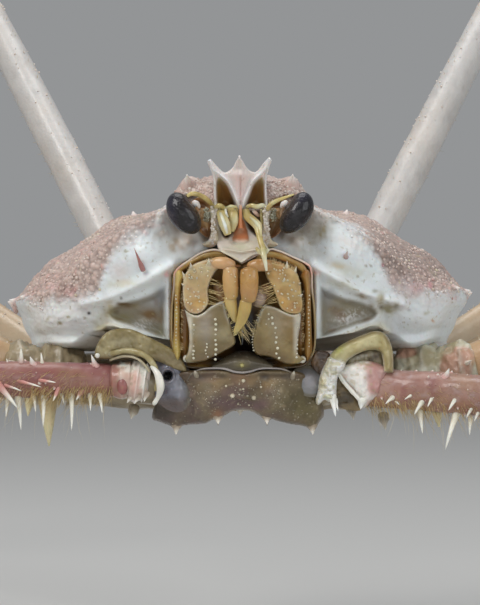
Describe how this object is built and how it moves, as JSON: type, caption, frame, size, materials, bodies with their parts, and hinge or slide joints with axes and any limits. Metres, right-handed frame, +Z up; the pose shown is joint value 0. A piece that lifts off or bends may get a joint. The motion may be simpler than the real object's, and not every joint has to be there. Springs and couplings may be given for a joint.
{
  "type": "spider crab",
  "caption": "Still, life-size deep-sea spider crab standing on long arched walking legs, with slender spiny pincers folded forward.",
  "frame": {"origin": "middle of the bounding box at floor level, under the body", "axes": "+Z up, the face looks towards -Y, the animal's left side is +X"},
  "size_m": [0.3856, 0.1748, 0.0906],
  "materials": {
    "shell": "calcified shell, rough with fine granules above and smooth white at the sides",
    "breast": "mottled brown-olive shell with pale granules",
    "bone": "smooth cream-white shell",
    "olive": "glossy olive-brown shell with white edges",
    "ochre": "glossy golden-ochre shell with pale beads",
    "orange": "glossy orange-gold shell with bristles",
    "yellow": "translucent yellowish shell",
    "cornea": "wet-looking dark brown-black cornea",
    "pink": "glossy pink-red shell with white spines",
    "leg": "smooth pale grey-white shell, tan towards the tips"
  },
  "bodies": {
    "root": {"abdomen": "bone", "antenna_left": "yellow", "antenna_right": "yellow", "antennule_left": "yellow", "antennule_right": "yellow", "carapace": "shell", "epistome": "bone", "eye_left": "cornea", "eye_right": "cornea", "eyestalk_left": "yellow", "eyestalk_right": "yellow", "leg1_left_carpus": "leg", "leg1_left_dactylus": "leg", "leg1_left_merus": "leg", "leg1_left_propodus": "leg", "leg1_right_carpus": "leg", "leg1_right_dactylus": "leg", "leg1_right_merus": "leg", "leg1_right_propodus": "leg", "leg2_left_carpus": "leg", "leg2_left_dactylus": "leg", "leg2_left_merus": "leg", "leg2_left_propodus": "leg", "leg2_right_carpus": "leg", "leg2_right_dactylus": "leg", "leg2_right_merus": "leg", "leg2_right_propodus": "leg", "leg3_left_carpus": "leg", "leg3_left_dactylus": "leg", "leg3_left_merus": "leg", "leg3_left_propodus": "leg", "leg3_right_carpus": "leg", "leg3_right_dactylus": "leg", "leg3_right_merus": "leg", "leg3_right_propodus": "leg", "leg4_left_carpus": "leg", "leg4_left_dactylus": "leg", "leg4_left_merus": "leg", "leg4_left_propodus": "leg", "leg4_right_carpus": "leg", "leg4_right_dactylus": "leg", "leg4_right_merus": "leg", "leg4_right_propodus": "leg", "maxilliped_left": "ochre", "maxilliped_right": "ochre", "mouth_frame": "olive", "palp_left": "orange", "palp_right": "orange", "pincer_left_carpus": "pink", "pincer_left_finger": "pink", "pincer_left_merus": "pink", "pincer_left_palm": "pink", "pincer_right_carpus": "pink", "pincer_right_finger": "pink", "pincer_right_merus": "pink", "pincer_right_palm": "pink", "thorax": "breast"}
  },
  "joints": []
}
